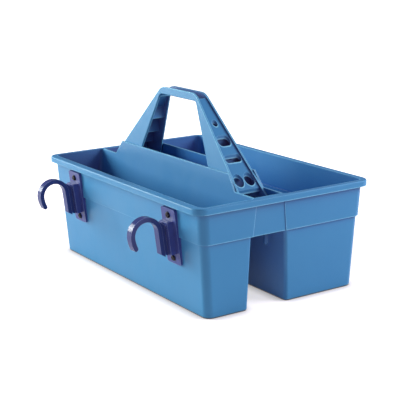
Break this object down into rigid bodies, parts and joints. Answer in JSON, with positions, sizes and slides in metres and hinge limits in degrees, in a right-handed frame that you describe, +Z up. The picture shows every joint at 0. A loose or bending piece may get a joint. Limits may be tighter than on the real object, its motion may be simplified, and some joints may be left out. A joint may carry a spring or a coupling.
{
  "type": "tool storage caddy",
  "caption": "Open moulded tool caddy: a narrow and a wide bin joined by a bridged channel, an arched carry handle with tool holes, and slide-in hooks that hang it on a rail.",
  "frame": {"origin": "centre of the bounding box in X and Y, at the level of the bins' flat bottoms", "axes": "+X along the caddy's length and the handle, -Y towards the rail hooks and the narrow bin, +Z up"},
  "size_m": [0.42, 0.3372, 0.2647],
  "materials": {
    "blue_plastic": "satin moulded polypropylene, mid blue",
    "hook_plastic": "smooth moulded nylon, deep blue violet",
    "dark_steel": "black oxide steel screws, washers and nuts"
  },
  "bodies": {
    "caddy": {"tray": "blue_plastic", "carry_handle": "blue_plastic", "hook_bracket_left": "hook_plastic", "screw_left_upper": "dark_steel", "washer_left_upper": "dark_steel", "nut_left_upper": "dark_steel", "screw_left_lower": "dark_steel", "washer_left_lower": "dark_steel", "nut_left_lower": "dark_steel", "hook_bracket_right": "hook_plastic", "screw_right_upper": "dark_steel", "washer_right_upper": "dark_steel", "nut_right_upper": "dark_steel", "screw_right_lower": "dark_steel", "washer_right_lower": "dark_steel", "nut_right_lower": "dark_steel"},
    "left_hook": {"rail_hook_left": "hook_plastic"},
    "right_hook": {"rail_hook_right": "hook_plastic"}
  },
  "joints": [
    {"name": "left_hook_slide", "type": "slide", "parent": "caddy", "child": "left_hook", "axis": [0, 0.1215, -0.9926], "range_m": [0, 0.045]},
    {"name": "right_hook_slide", "type": "slide", "parent": "caddy", "child": "right_hook", "axis": [0, 0.1215, -0.9926], "range_m": [0, 0.045]}
  ]
}
